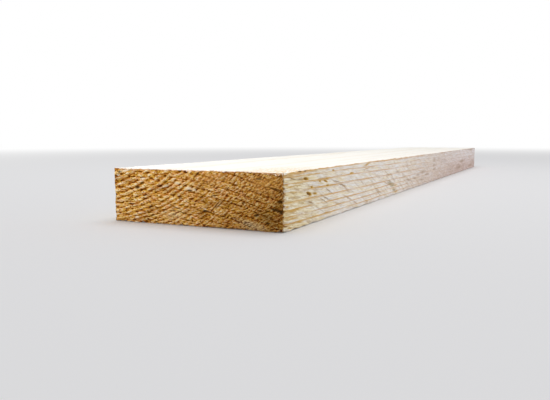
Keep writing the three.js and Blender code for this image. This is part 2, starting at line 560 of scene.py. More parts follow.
print("tooth marks fall", round(math.degrees(TOOTH_FALL), 1), "degrees away from the near end")

# %% [markdown]
# ## Marks with a place of their own
#
# Where the grain dives, the teeth lift the fibres and snap out a splinter, which leaves a shallow
# hollow on the front edge or a dark pit in the end. Knots, resin streaks and the deepest scratches
# have a place of their own too, so a noise cannot give them. Cutting each with its own tool shape
# would be slow and would not colour it. All of them are drawn with one shape instead, an egg that is
# turned to the mark's slant: its strength falls from 1 in the middle to 0 at the rim.


# %% One shape for every mark
# A hollow is at its full depth where its egg is at least this strong, and slopes up to its rim.
HOLLOW_FLOOR = 0.7


def egg(tree, place, centre, size, turning, tilt):
    """1 in the middle of an egg, falling to 0 at its rim and staying there. turning is its axis."""
    off = add(tree, VECTOR, place, centre, operation="SUBTRACT")
    off = add(tree, "ShaderNodeVectorRotate", off, Angle=math.radians(tilt), rotation_type=turning)
    off = add(tree, VECTOR, off, [2 / side for side in size], operation="MULTIPLY")
    reach = add(tree, VECTOR, off, operation="LENGTH")
    return add(tree, MATH, 1.0, reach, operation="SUBTRACT", use_clamp=True)


def largest(tree, values):
    """The largest of several values, at least 0."""
    most = 0.0
    for value in values:
        most = add(tree, MATH, most, value, operation="MAXIMUM")
    return most


def marks(tree, place, mark, places):
    """How strongly any of the marks in a list shows, from 0 to 1."""
    return largest(tree, [mark(tree, place, *where) for where in places])


def bowls(tree, place, mark, places):
    """How deep a list of hollows is at each point, in millimetres."""
    depths = []
    for *where, depth in places:
        bowl = add(tree, REMAP, mark(tree, place, *where), From_Max=HOLLOW_FLOOR, To_Max=depth,
                   interpolation_type="SMOOTHSTEP")
        depths.append(bowl)
    return largest(tree, depths)


print("the flat floor of a hollow is", round(1 - HOLLOW_FLOOR, 1), "of its length")


# %% Hollows and splinters on the front edge
# Each starts with its distance from the near end, its depth below the top, its length and height in
# millimetres, and its fall away from the near end in degrees. A hollow ends with its own depth.
TORN_HOLLOWS = (
    (48, 8.1, 15, 3.4, 5, 1.3),
    (54.8, 21.9, 15, 4, 13, 1.7),
    (61, 16.4, 9, 2.7, 8, 0.9),
    (69, 23, 11, 1.7, 2, 1.0),
    (82, 12.6, 6, 2.4, 5, 0.9),
    (97, 13.4, 14, 2.2, 14, 1.0),
    (101.5, 11.6, 9, 1.5, 4, 0.7),
    (102, 18, 9, 2.4, 4, 0.9),
    (118, 4, 9, 1.8, 2, 0.9),
    (176, 10, 20, 2.2, 2, 0.7),
)
# On the upright arris between them: the depth below the top, the width, height and depth of a knock.
CORNER_KNOCKS = (
    (0, 16, 12, 0.9), (20, 16, 16, 0.6), (38, 16, 16, 0.7), (50, 16, 14, 1.0), (0, 70, 16, 1.4),
)
ARRIS_SPLINTERS = (
    (14, 0, 20, 3, 0, 1.5),
    (66, 0, 15, 2, 0, 1.0),
    (152, 0, 26, 1.8, 0, 0.9),
    (318, 0, 34, 2, 0, 1.0),
    (22, 50, 16, 2.2, 0, 1.1),
    (190, 50, 28, 1.8, 0, 0.9),
)
EGG_DEPTH = 60


def front_egg(tree, place, from_end, below, length, height, fall):
    """An egg on the front edge, deep enough to hold its whole surface."""
    centre = (END_X + from_end, FRONT_Y, TOP_Z - below)
    return egg(tree, place, centre, (length, EGG_DEPTH, height), "Y_AXIS", -fall)


def corner_egg(tree, place, below, width, height):
    """An upright egg around the arris between the near end and the front edge."""
    return egg(tree, place, (END_X, FRONT_Y, TOP_Z - below), (width, width, height), "Z_AXIS", 0)


def frayed(tree, place):
    """The place shaken by a millimetre or two, so that the marks on the edge have torn outlines."""
    return wander(tree, place, (5, 9, 1.3), (5, 0, 1.1))


print("front edge:", len(TORN_HOLLOWS), "hollows and", len(ARRIS_SPLINTERS), "splinters")

# %% Knots, flakes, resin and strokes on the front edge
# They lie in the surface and only colour it, so they have no depth at the end.
KNOTS = ((340, 33, 40, 7, 6), (350, 36, 34, 6, 0), (359, 43, 26, 6, 8), (336, 30, 24, 4, 12))
FAR_SPECKS = (
    (376, 19.4, 34, 4, 0), (447, 35.4, 44, 5, 6), (484, 34.7, 40, 5, 6), (507, 30.9, 36, 4, 0),
    (536, 40.1, 44, 5, 4), (544, 28.3, 60, 9, 0), (578, 34.4, 44, 5, 0), (642, 12.5, 30, 9, 0),
    (640, 21.3, 30, 7, 0), (644, 28.3, 40, 5, 0), (974, 26.5, 90, 9, 0), (935, 38.4, 90, 9, 0),
    (1116, 41.7, 100, 8, 0), (1117, 2.5, 110, 5, 0),
)
# Pale flakes and scratches of torn fibre, partly painted highlights where they catch the light.
PALE_FLAKES_AND_HIGHLIGHTS = (
    (6, 0.8, 26, 3.4, 0), (8, 6, 16, 3, 3), (8, 22, 6, 4, 0), (16, 11, 20, 2.4, 3), (12, 41.5, 14, 2, 5),
    (101, 13, 10, 1.8, 20), (43.5, 38, 1.6, 12, 0), (24, 28, 14, 2.4, 2), (60, 13, 20, 2, 4),
    (70, 33, 22, 2.4, 8), (62, 24.5, 8, 1.6, 0),
)
BRUISES = (
    (0.5, 13.5, 7, 3, 0), (1, 19, 6, 5, 0), (0.5, 23.5, 8, 3, 5), (0.5, 28, 6, 4, 0), (1, 32.5, 8, 2.4, 0),
    (0, 37, 6, 3, 0), (2, 44.8, 14, 1.6, 5), (0, 6, 4, 3, 0), (34, 0.8, 10, 2, 0), (46, 1.1, 8, 1.8, 0),
)
RESIN_STREAKS = (
    (16, 33.5, 34, 3, 0), (28, 33, 12, 2.4, 6), (18, 40, 26, 2.2, 2), (33, 44.5, 26, 2.8, 6),
    (7, 29, 16, 3, 4), (14, 3.4, 26, 2.4, 2), (44, 8.5, 24, 2.4, 2), (92, 12, 40, 2, 2),
    (99, 44, 14, 3, 3), (14, 13, 22, 2, 0), (232, 3, 30, 4, -8), (230, 8, 36, 1.6, -4),
    (350, 0.5, 34, 3, 0), (366, 37, 26, 3, 0), (371, 46, 30, 3, 0), (9, 2.8, 32, 2.6, -8),
)
NEAR_STROKES = (
    (91, 31.5, 34, 1.9, 19), (98, 29.8, 26, 1.7, 16), (59, 30.5, 26, 1.8, 15), (104, 22.8, 24, 1.8, 20),
    (128, 15.9, 26, 1.8, 10), (145, 20.8, 32, 2, 10), (17, 6, 36, 1.8, 11), (35, 7.7, 24, 1.6, 2),
)
DEEP_STROKES = (
    (152, 23, 44, 3.2, 20), (160, 27, 20, 3.6, 18), (165, 36, 50, 3, 16), (188, 43, 26, 2.4, 18),
    (60, 30, 20, 1.4, 17), (287, 40, 34, 3, 12), (280, 37, 30, 2.4, 18), (214, 23, 24, 2, 22),
    (318, 31, 34, 2.6, 12), (128, 38, 32, 2, 16), (120, 15, 24, 1.8, 16), (232, 46, 14, 2.4, 20),
)

stroke_count = len(NEAR_STROKES) + len(DEEP_STROKES)
print("front edge:", stroke_count, "deep strokes and", len(RESIN_STREAKS), "streaks of resin")

# %% Marks on the end
# Each starts with its distance from the back edge, its depth below the top, its width and height in
# millimetres, and its rise towards the front edge in degrees. A pit ends with its own depth.
END_PITS = (
    (6, 3.4, 7, 2.4, 8, 1.0),
    (27, 17.6, 9, 2.8, 12, 1.3),
    (35.3, 24.4, 7, 2, 20, 1.0),
    (73.8, 25.3, 6, 2, 15, 1.0),
    (83.8, 18.4, 7, 2.6, 0, 1.2),
    (43, 42.5, 9, 2.2, 15, 1.0),
    (99.4, 35.6, 8, 2.8, 0, 1.5),
    (109, 21.5, 6, 2.4, 0, 0.9),
    (128.7, 40, 7, 2, 0, 1.0),
    (137.8, 26.5, 5, 2.4, 0, 1.0),
    (150, 36.5, 7, 3, 25, 1.2),
    (160.3, 42.8, 7, 2.6, 0, 1.2),
    (168, 31.4, 16, 3, -12, 1.5),
    (173, 33, 6, 4.4, 0, 1.6),
    (172.5, 24.2, 10, 3.6, 5, 1.5),
    (152, 6, 9, 2.2, 0, 1.0),
    (165, 14, 14, 1.8, -22, 0.9),
)
DEEP_SCRATCHES = (
    (111, 29.6, 18, 1.8, 46), (114.6, 29, 18, 1.8, 45), (91, 4.7, 10, 1.6, 50), (120, 38, 9, 1.5, 32),
    (77, 38.4, 22, 1.3, -17), (68, 33.6, 18, 1.3, -18), (169.4, 14.4, 20, 2, -15),
)
PALE_SCRATCHES = (
    (112.8, 29.2, 18, 1.7, 46), (109, 30.4, 14, 1.4, 46), (130.6, 4.4, 13, 1.8, 46), (126.5, 7, 8, 1.4, 50),
    (78, 36.5, 28, 1.8, -17), (69, 32, 20, 1.5, -18), (89, 35, 16, 1.4, -16),
)
# Painted shade: dark patches at the end's front corner, where shadow falls.
PAINTED_CORNER_SHADE = ((160, 38, 34, 16, -24), (171, 28, 14, 14, 0))
# Pale tufts on the end, partly painted highlights where they catch the light.
PALE_TUFTS_AND_HIGHLIGHTS = (
    (70.6, 12.1, 7, 3.2, 0), (33, 9.4, 9, 2.4, 8), (4.4, 6.5, 5, 3, 0), (58, 15.3, 9, 2, 12),
    (82.4, 16.3, 9, 3.6, 0), (88, 17.6, 6, 2.6, 0), (25.6, 45, 7, 2.4, 0), (99, 33.8, 5, 1.4, 0),
    (14, 2, 16, 3, 12),
)
PALE_FIBRES = ((146, 46, 36, 10, -14), (66, 41, 30, 12, 4))
WARM_PATCHES = ((156, 10, 60, 24, 0), (106, 8, 44, 16, 0))


def end_egg(tree, place, from_back, below, width, height, rise):
    """An egg on the near end, long enough to hold its whole surface."""
    centre = (END_X, -FRONT_Y - from_back, TOP_Z - below)
    return egg(tree, place, centre, (EGG_DEPTH, width, height), "X_AXIS", rise)


def end_pits(tree, place):
    """How deep the pits in the end are, in millimetres, with torn outlines."""
    return bowls(tree, wander(tree, place, (9, 3, 1.4), (0, 3, 1.1)), end_egg, END_PITS)


print("near end:", len(END_PITS), "pits, the deepest", max(pit[-1] for pit in END_PITS), "mm")

# %% [markdown]
# ## Carving
#
# A saw takes wood away and adds none, so every mark goes inwards from the box. A displacement
# modifier moves a whole mesh by one texture. Geometry Nodes can ask at each point which side it is
# on, so the end gets its tufts and pits, the long sides their fibres and tooth marks, and the front
# edge its hollows. The arrises are nibbled on top of that, because they are knocked in handling. The
# same functions colour the surface later, so every dark pit is also a hole.


# %% Worn arrises
ARRIS_REACH = 2.2
ARRIS_RELIEF = 1.9
NIBBLE = (16, 3, 3)
LOOSE_FIBRE = (26, 2.2, 2.2)
# How strongly the noise of the loose fibres moves the end of a break, in millimetres.
BREAK_SPREAD = 34


def break_out(tree, place):
    """Fibres that broke off along the near end's arrises: 1 at a break and 0 away from it."""
    loose = add(tree, NOISE, stretched(tree, place, LOOSE_FIBRE), Scale=1, Detail=2)
    from_end = add(tree, SPLIT, place, output="X")
    from_end = add(tree, MATH, from_end, END_X, operation="SUBTRACT")
    reach = add(tree, MATH, loose, BREAK_SPREAD, from_end, operation="MULTIPLY_ADD")
    return add(tree, REMAP, reach, From_Min=18, From_Max=13.5)


def arris_wear(tree, place):
    """How far the arrises are nibbled away, in millimetres."""
    half = [(high - low) / 2 / MM for low, high in zip(LOW, HIGH)]
    centre = [(high + low) / 2 / MM for low, high in zip(LOW, HIGH)]
    off = add(tree, VECTOR, place, centre, operation="SUBTRACT")
    off = add(tree, VECTOR, off, operation="ABSOLUTE")
    part = add(tree, SPLIT, add(tree, VECTOR, half, off, operation="SUBTRACT"), output=None)
    to_end, to_edge, to_face = part.outputs
    nearer = add(tree, MATH, to_end, to_edge, operation="MINIMUM")
    farther = add(tree, MATH, to_end, to_edge, operation="MAXIMUM")
    to_arris = add(tree, MATH, farther, to_face, operation="MINIMUM")
    to_arris = add(tree, MATH, nearer, to_arris, operation="MAXIMUM")
    close = add(tree, REMAP, to_arris, From_Min=ARRIS_REACH, From_Max=0.0)
    nibble = add(tree, NOISE, stretched(tree, place, NIBBLE), Scale=1, Detail=2)
    nibble = add(tree, REMAP, nibble, From_Min=0.42, From_Max=0.75, To_Max=ARRIS_RELIEF)
    return add(tree, MATH, close, nibble, operation="MULTIPLY")


print("arrises are nibbled up to", ARRIS_RELIEF, "mm deep")

# %% How deep each point lies
END_RELIEF = 1.1
FIBRE_RELIEF = 0.3
TOOTH_RELIEF = 0.25
BREAK_RELIEF = 0.9
# Points this close to the near end or to the front edge can carry its marks.
SKIN = 6

tree = bpy.data.node_groups.new("saw_marks_and_tears", "GeometryNodeTree")
for way in ("INPUT", "OUTPUT"):
    tree.interface.new_socket("Geometry", in_out=way, socket_type="NodeSocketGeometry")
place = place_in_mm(tree)
normal = add(tree, "GeometryNodeInputNormal")
facing = add(tree, SPLIT, add(tree, VECTOR, normal, operation="ABSOLUTE"), output=None)
on_end = add(tree, REMAP, facing.outputs["X"], From_Min=0.6, From_Max=0.95)
on_sides = add(tree, MATH, 1.0, on_end, operation="SUBTRACT")
part = add(tree, SPLIT, place, output=None)
on_front = add(tree, MATH, part.outputs["Y"], FRONT_Y + SKIN, operation="LESS_THAN")
on_near_end = add(tree, MATH, part.outputs["X"], END_X + SKIN, operation="LESS_THAN")

torn = add(tree, REMAP, end_height(tree, place), To_Min=END_RELIEF, To_Max=0.0)
pits = add(tree, MATH, end_pits(tree, place), on_near_end, operation="MULTIPLY")
end_depth = add(tree, MATH, add(tree, MATH, torn, pits, operation="MAXIMUM"), on_end, operation="MULTIPLY")
streaks = add(tree, REMAP, fibres(tree, place), To_Min=FIBRE_RELIEF, To_Max=0.0)
side_depth = add(tree, MATH, tooth_marks(tree, place), TOOTH_RELIEF, streaks, operation="MULTIPLY_ADD")
hollow = bowls(tree, frayed(tree, place), front_egg, TORN_HOLLOWS + ARRIS_SPLINTERS)
side_depth = add(tree, MATH, hollow, on_front, side_depth, operation="MULTIPLY_ADD")
side_depth = add(tree, MATH, break_out(tree, place), BREAK_RELIEF, side_depth, operation="MULTIPLY_ADD")
depth = add(tree, MATH, side_depth, on_sides, end_depth, operation="MULTIPLY_ADD")
knocks = bowls(tree, frayed(tree, place), corner_egg, CORNER_KNOCKS)
depth = add(tree, MATH, depth, knocks, operation="ADD")
depth = add(tree, MATH, depth, arris_wear(tree, place), operation="ADD")

print("relief:", END_RELIEF, "mm on the ends,", FIBRE_RELIEF + TOOTH_RELIEF, "mm on the long sides")

# %% Carve
sunk = add(tree, MATH, depth, -MM, operation="MULTIPLY")
offset = add(tree, VECTOR, normal, operation="SCALE", Scale=sunk)
blank = add(tree, "NodeGroupInput")
carved = add(tree, "GeometryNodeSetPosition", blank, Offset=offset)
add(tree, "NodeGroupOutput", carved, output=None)

modifier = plank.modifiers.new("saw_marks_and_tears", "NODES")
modifier.node_group = tree
bpy.ops.object.modifier_apply(modifier=modifier.name)
bpy.ops.object.shade_smooth_by_angle(angle=math.radians(60))
print("carved:", len(plank.data.polygons), "faces, with the map", plank.data.uv_layers[0].name)

# %% [markdown]
# ## The finishes
#
# All six sides are one wood, a spruce. One material with a mask for each side could serve, but three
# are easier to read and to change: the two ends, the two narrow edges and the two broad faces. Bare
# sawn wood is dull, because its open, furry fibres scatter the light. So the roughness is high and
# the specular level low, while the index of refraction stays at 1.5, which is right for cellulose.


# %% A bare wood material
SAWN_SPECULAR = 0.15
END_SPECULAR = 0.05


def new_material(name, specular):
    """A dull wood material: the material, its tree and its shader node."""
    made = bpy.data.materials.new(name)
    made.use_nodes = True
    shader = made.node_tree.nodes["Principled BSDF"]
    shader.inputs["Specular IOR Level"].default_value = specular
    print("new material:", name)
    return made, made.node_tree, shader


# %% [markdown]
# ### Cross-cut end grain
#
# The end shows the fibres' open ends, a bundle of fine straws that swallow light. So it is darker
# and more orange than the sides of the same plank, and it is the dullest side. A noise of its own
# could colour it, but then light and dark would not follow the tufts. Here the height that carved
# the end also picks its colour: brown in the tears, ochre on their slopes and cream on the tips.
# That is partly the wood's own colour and partly painted light: painted shade in the tears and
# painted highlights on the tips.

# %% End grain
# The grain sizes are along the plank, across it and up, in millimetres.
HUE_PATCH = (9, 5, 2)
CLOUD = (30, 20, 9)
GRIT_PATCH = (2, 2.2, 0.9)

end_grain, tree, shader = new_material("spruce_cross_cut_end_grain", END_SPECULAR)
place = place_in_mm(tree)
height = end_height(tree, place)
# The ramp is partly the wood's colour and partly painted light: painted shade in the tears, painted
# highlights on the tips.
colour = add(tree, RAMP, height, stops=(
    (0.12, "#623002"), (0.26, "#A05C06"), (0.4, "#D69230"), (0.54, "#ECB866"), (0.7, "#F8D89E"),
    (0.9, "#FFF4D8")))
hue = add(tree, NOISE, stretched(tree, place, HUE_PATCH), Scale=1, Detail=2.5, Roughness=0.6)
orange = add(tree, REMAP, hue, From_Min=0.5, From_Max=0.64, To_Max=0.6)
colour = add(tree, MIX, orange, colour, linear("#DAAE3A"), data_type="RGBA", blend_type="COLOR")
rose = add(tree, REMAP, hue, From_Min=0.47, From_Max=0.34, To_Max=0.36)
colour = add(tree, MIX, rose, colour, linear("#D48456"), data_type="RGBA", blend_type="COLOR")
cloud = add(tree, NOISE, stretched(tree, place, CLOUD), Scale=1, Detail=2)
cloud = add(tree, RAMP, cloud, stops=((0.34, "#D2C2A6"), (0.46, "#FAF6F0"), (0.6, "#FFFFFF")))
colour = add(tree, MIX, 0.8, colour, cloud, data_type="RGBA", blend_type="MULTIPLY")
grit = add(tree, NOISE, stretched(tree, place, GRIT_PATCH), Scale=1, Detail=1)
grit = add(tree, RAMP, grit, stops=(
    (0.25, "#4A2E10"), (0.33, "#A88250"), (0.42, "#EADCC0"), (0.5, "#FFFFFF")))
colour = add(tree, MIX, 1.0, colour, grit, data_type="RGBA", blend_type="MULTIPLY")
print("end grain: grit of", GRIT_PATCH[2], "to", GRIT_PATCH[1], "mm")

# %% Painted shade towards the front and the bottom, with an orange band along the top
BAND_TEAR = (9, 2.6, 3)
BAND_REACH = 6
LIFTED_FLAKE = (9, 3.2, 3)
LIFTED_REACH = 7

part = add(tree, SPLIT, place, output=None)
# Painted shade: the end is darkened towards its front and bottom.
corner = add(tree, MATH, part.outputs["Z"], 0.9, part.outputs["Y"], operation="MULTIPLY_ADD")
shade = add(tree, REMAP, corner, From_Min=85, From_Max=-85)
tone = add(tree, RAMP, shade, stops=(
    (0.0, "#FFFFFF"), (0.45, "#F8F3EA"), (0.75, "#DCCCAA"), (1.0, "#C2B28E")))
colour = add(tree, MIX, 1.0, colour, tone, data_type="RGBA", blend_type="MULTIPLY")
ragged = add(tree, NOISE, stretched(tree, place, BAND_TEAR), Scale=1, Detail=2)
ragged = add(tree, MATH, ragged, BAND_REACH, part.outputs["Z"], operation="MULTIPLY_ADD")
top_band = add(tree, REMAP, ragged, From_Min=TOP_Z + 1.0, From_Max=TOP_Z + 2.6, To_Max=0.6)
colour = add(tree, MIX, top_band, colour, linear("#CC8440"), data_type="RGBA")
lifted = add(tree, NOISE, stretched(tree, place, LIFTED_FLAKE), Scale=1, Detail=2)
lifted = add(tree, MATH, lifted, LIFTED_REACH, part.outputs["Z"], operation="MULTIPLY_ADD")
lifted = add(tree, REMAP, lifted, From_Min=TOP_Z + 3.5, From_Max=TOP_Z + 4.6, To_Max=0.8)
colour = add(tree, MIX, lifted, colour, linear("#F2DAB0"), data_type="RGBA")
print("the top band is", round(BAND_REACH / 2 - 1), "mm high on average")

# %% Scratches, tufts with painted highlights, and pits with painted shade
on_near_end = add(tree, MATH, part.outputs["X"], 0.0, operation="LESS_THAN")
torn = wander(tree, place, (9, 3, 1.4), (0, 2.4, 0.8))
pale_fibres = add(tree, MATH, marks(tree, torn, end_egg, PALE_FIBRES), on_near_end, operation="MULTIPLY")
pale_fibres = add(tree, MATH, pale_fibres, height, operation="MULTIPLY")
pale_fibres = add(tree, MATH, pale_fibres, 0.8, operation="MULTIPLY")
colour = add(tree, MIX, pale_fibres, colour, linear("#EEDDB0"), data_type="RGBA")
# Among these marks the corner patches are painted shade and the pale tufts are partly painted highlights; the
# others are the wood's own colour.
for places, hex_colour, strength, spot in (
    (WARM_PATCHES, "#E2A456", 0.45, place), (PAINTED_CORNER_SHADE, "#6E4A14", 0.6, torn),
    (PALE_TUFTS_AND_HIGHLIGHTS, "#FFF0D2", 1.1, torn),
    (PALE_SCRATCHES, "#DCB074", 0.8, place), (DEEP_SCRATCHES, "#6A4214", 1.3, place),
):
    mark = marks(tree, spot, end_egg, places)
    mark = add(tree, MATH, mark, on_near_end, operation="MULTIPLY")
    mark = add(tree, MATH, mark, strength, operation="MULTIPLY", use_clamp=True)
    colour = add(tree, MIX, mark, colour, linear(hex_colour), data_type="RGBA")
# Painted shade: the pits are coloured dark on top of their carved depth.
pits = add(tree, REMAP, end_pits(tree, place), From_Max=1.1, To_Max=0.85)
pits = add(tree, MATH, pits, on_near_end, operation="MULTIPLY")
colour = add(tree, MIX, pits, colour, linear("#38220A"), data_type="RGBA")
tree.links.new(colour, shader.inputs["Base Color"])
print("end grain:", len(tree.nodes), "nodes so far")

# %% Sheen and bump of the end
# The teeth press the tips of the tufts a little smoother than the tears between them.
dullness = add(tree, REMAP, height, To_Min=0.95, To_Max=0.78)
tree.links.new(dullness, shader.inputs["Roughness"])
bump = add(tree, "ShaderNodeBump", Height=height, Distance=END_RELIEF * MM, Strength=0.8)
tree.links.new(bump, shader.inputs["Normal"])
print("end grain: roughness 0.78 on the tufts and 0.95 between them")

# %% [markdown]
# ### Band-sawn narrow edges
#
# The narrow edges cut the rings nearly square, so each year shows as a fine brown line on cream
# wood. The band saw leaves them smoother than the end, but still furry. Near the end the wood has
# yellowed and holds resin, and along the far half it has weathered to a pinkish grey. One ramp of
# colour could run along the whole edge. Here three ramps do, for the pale wood, its dull streaks and
# its lines, so that the pattern fades without its colours turning muddy.

# %% Three ramps along the edge
# The yellow wood ends this far along the plank, as a share of its length.
YELLOW_TO = 0.05

sawn_edge, tree, shader = new_material("spruce_band_sawn_edge", SAWN_SPECULAR)
place = place_in_mm(tree)
part = add(tree, SPLIT, place, output=None)
along = add(tree, REMAP, part.outputs["X"], From_Min=LOW[0] / MM, From_Max=HIGH[0] / MM)
pale = add(tree, RAMP, along, stops=(
    (0.0, "#F7EECC"), (YELLOW_TO, "#F7F2E3"), (0.1, "#F8F5F1"), (0.3, "#F8F4F2"), (0.42, "#EDE4E0"),
    (0.62, "#EAE0DE"), (0.85, "#F6EEF2")))
dull = add(tree, RAMP, along, stops=(
    (0.0, "#BC944E"), (YELLOW_TO, "#C8AC78"), (0.1, "#D6C4AA"), (0.3, "#D6C6B4"), (0.5, "#C6B4A6"),
    (0.8, "#CCBCB4")))
lines = add(tree, RAMP, along, stops=(
    (0.0, "#CE9A3A"), (0.08, "#D4A458"), (0.3, "#D6A874"), (0.6, "#C6A48C")))
print("yellow wood up to", round(YELLOW_TO * size[X] / MM), "mm from the near end")

# %% Streaks
# Two kinds of streak run a little aslant to the lines, because the grain is never quite straight.
GRAIN_SLANT = math.radians(-5)
DULL_STREAK = (15, 15, 1.5)
WARM_STREAK = (34, 12, 2.0)

slanted = add(tree, "ShaderNodeVectorRotate", place, Angle=GRAIN_SLANT, rotation_type="Y_AXIS")
coarse = add(tree, NOISE, stretched(tree, slanted, DULL_STREAK), Scale=1, Detail=2, Roughness=0.6)
coarse = add(tree, REMAP, coarse, From_Min=0.42, From_Max=0.7)
rough_start = add(tree, REMAP, along, From_Min=0.03, From_Max=0.12, To_Min=0.95, To_Max=0.55)
coarse = add(tree, MATH, coarse, rough_start, operation="MULTIPLY")
colour = add(tree, MIX, coarse, pale, dull, data_type="RGBA")
tint = add(tree, NOISE, stretched(tree, slanted, WARM_STREAK), Scale=1, Detail=3, Roughness=0.6)
warm = add(tree, REMAP, tint, From_Min=0.5, From_Max=0.68, To_Max=0.6)
far = add(tree, REMAP, along, From_Min=0.05, From_Max=0.6, To_Min=1.0, To_Max=0.2)
warm = add(tree, MATH, warm, far, operation="MULTIPLY")
colour = add(tree, MIX, warm, colour, linear("#EFDCA6"), data_type="RGBA")
cool = add(tree, REMAP, tint, From_Min=0.48, From_Max=0.32, To_Max=0.75)
colour = add(tree, MIX, cool, colour, linear("#EEF0F6"), data_type="RGBA")
print("streaks:", DULL_STREAK[2], "and", WARM_STREAK[2], "mm high")

# %% Ring lines, fibres and tooth marks
LINE_CHANGE = (60, 12, 8)
BLOTCH = (22, 14, 5)

strength = add(tree, NOISE, stretched(tree, place, LINE_CHANGE), Scale=1, Detail=2)
strength = add(tree, REMAP, strength, From_Min=0.35, From_Max=0.55, To_Min=0.35, To_Max=1.0)
strength = add(tree, MATH, strength, late_wood(tree, place), operation="MULTIPLY")
fading = add(tree, REMAP, along, From_Min=0.28, From_Max=0.52, To_Min=1.0, To_Max=0.35)
strength = add(tree, MATH, strength, fading, operation="MULTIPLY")
colour = add(tree, MIX, strength, colour, lines, data_type="RGBA")
streak = fibres(tree, place)
tone = add(tree, RAMP, streak, stops=((0.0, "#D8CCBC"), (0.45, "#FAF8F4"), (1.0, "#FFFFFF")))
colour = add(tree, MIX, 0.9, colour, tone, data_type="RGBA", blend_type="MULTIPLY")
blotch = add(tree, NOISE, stretched(tree, place, BLOTCH), Scale=1, Detail=4, Roughness=0.7)
blotch = add(tree, REMAP, blotch, From_Min=0.52, From_Max=0.68, To_Max=0.4)
colour = add(tree, MIX, blotch, colour, linear("#CAB4A2"), data_type="RGBA")
middle_part = add(tree, REMAP, along, From_Min=0.15, From_Max=0.3, To_Min=0.3, To_Max=0.6)
strokes = add(tree, MATH, tooth_marks(tree, place), middle_part, operation="MULTIPLY")
lower = add(tree, REMAP, part.outputs["Z"], From_Min=46, From_Max=26, To_Min=0.25)
strokes = add(tree, MATH, strokes, add(tree, MATH, fading, lower, operation="MULTIPLY"), operation="MULTIPLY")
colour = add(tree, MIX, strokes, colour, linear("#B49A7C"), data_type="RGBA")
print("a line's strength changes about every", LINE_CHANGE[0], "mm")

# %% A weathered far half, with painted shade towards its bottom
STAIN = (70, 20, 9)
FAR_WEATHER_AND_SHADE_FROM = 0.35

far_weather_and_shade = add(tree, REMAP, along, From_Min=FAR_WEATHER_AND_SHADE_FROM, From_Max=0.75)
level = add(tree, NOISE, stretched(tree, place, STAIN), Scale=1, Detail=3, Roughness=0.6)
mottle = add(tree, REMAP, level, From_Min=0.52, From_Max=0.64, To_Max=0.25)
mottle = add(tree, MATH, mottle, far_weather_and_shade, operation="MULTIPLY")
colour = add(tree, MIX, mottle, colour, linear("#B6A296"), data_type="RGBA")
# Painted shade: over the far half, the lower part of the edge is darkened and the top is left light.
level = add(tree, MATH, level, -40, part.outputs["Z"], operation="MULTIPLY_ADD")
level = add(tree, REMAP, level, From_Min=-8, From_Max=16)
level = add(tree, RAMP, level, stops=((0.0, "#ECE0DA"), (0.6, "#F8F2F0"), (1.0, "#FFFFFF")))
colour = add(tree, MIX, far_weather_and_shade, colour, level, data_type="RGBA", blend_type="MULTIPLY")
print("weathering starts", round(FAR_WEATHER_AND_SHADE_FROM * size[X] / MM), "mm from the near end")

# %% Strokes, resin, knots and torn arrises
FLECK = (6, 12, 1)
ARRIS_CHANGE = (40, 20, 20)

fleck = add(tree, NOISE, stretched(tree, slanted, FLECK), Scale=1, Detail=2)
fleck = add(tree, REMAP, fleck, From_Min=0.62, From_Max=0.72, To_Max=0.7)
near = add(tree, REMAP, along, From_Min=0.11, From_Max=0.04, To_Min=0.15)
fleck = add(tree, MATH, fleck, near, operation="MULTIPLY")
colour = add(tree, MIX, fleck, colour, linear("#A8803C"), data_type="RGBA")
arris = add(tree, NOISE, stretched(tree, place, ARRIS_CHANGE), Scale=1, Detail=2)
arris = add(tree, MATH, arris, 5, part.outputs["Z"], operation="MULTIPLY_ADD")
arris = add(tree, MATH, near, 1.2, arris, operation="MULTIPLY_ADD")
unworn = add(tree, REMAP, part.outputs["X"], From_Min=END_X + 8, From_Max=END_X + 20, To_Max=0.8)
arris = add(tree, REMAP, arris, From_Min=TOP_Z + 0.6, From_Max=TOP_Z + 2.2, To_Max=unworn)
colour = add(tree, MIX, arris, colour, lines, data_type="RGBA")
on_front = add(tree, MATH, part.outputs["Y"], 0.0, operation="LESS_THAN")
torn = frayed(tree, place)
for places, hex_colour, strength in (
    (DEEP_STROKES, "#B6946A", 0.9), (NEAR_STROKES, "#8E6E44", 1.0), (RESIN_STREAKS, "#C89C4E", 1.1),
    (KNOTS, "#A08A5E", 0.95), (FAR_SPECKS, "#AC9078", 0.75), (PALE_FLAKES_AND_HIGHLIGHTS, "#F8F4E4", 0.9),
    (BRUISES, "#7C5020", 1.6),
):
    mark = marks(tree, torn, front_egg, places)
    mark = add(tree, MATH, mark, on_front, operation="MULTIPLY")
    mark = add(tree, MATH, mark, strength, operation="MULTIPLY", use_clamp=True)
    colour = add(tree, MIX, mark, colour, linear(hex_colour), data_type="RGBA")
broken = add(tree, MATH, break_out(tree, place), 0.85, operation="MULTIPLY")
colour = add(tree, MIX, broken, colour, linear("#A06A2C"), data_type="RGBA")
print("flecks of", FLECK[0], "mm lie next to the near end")

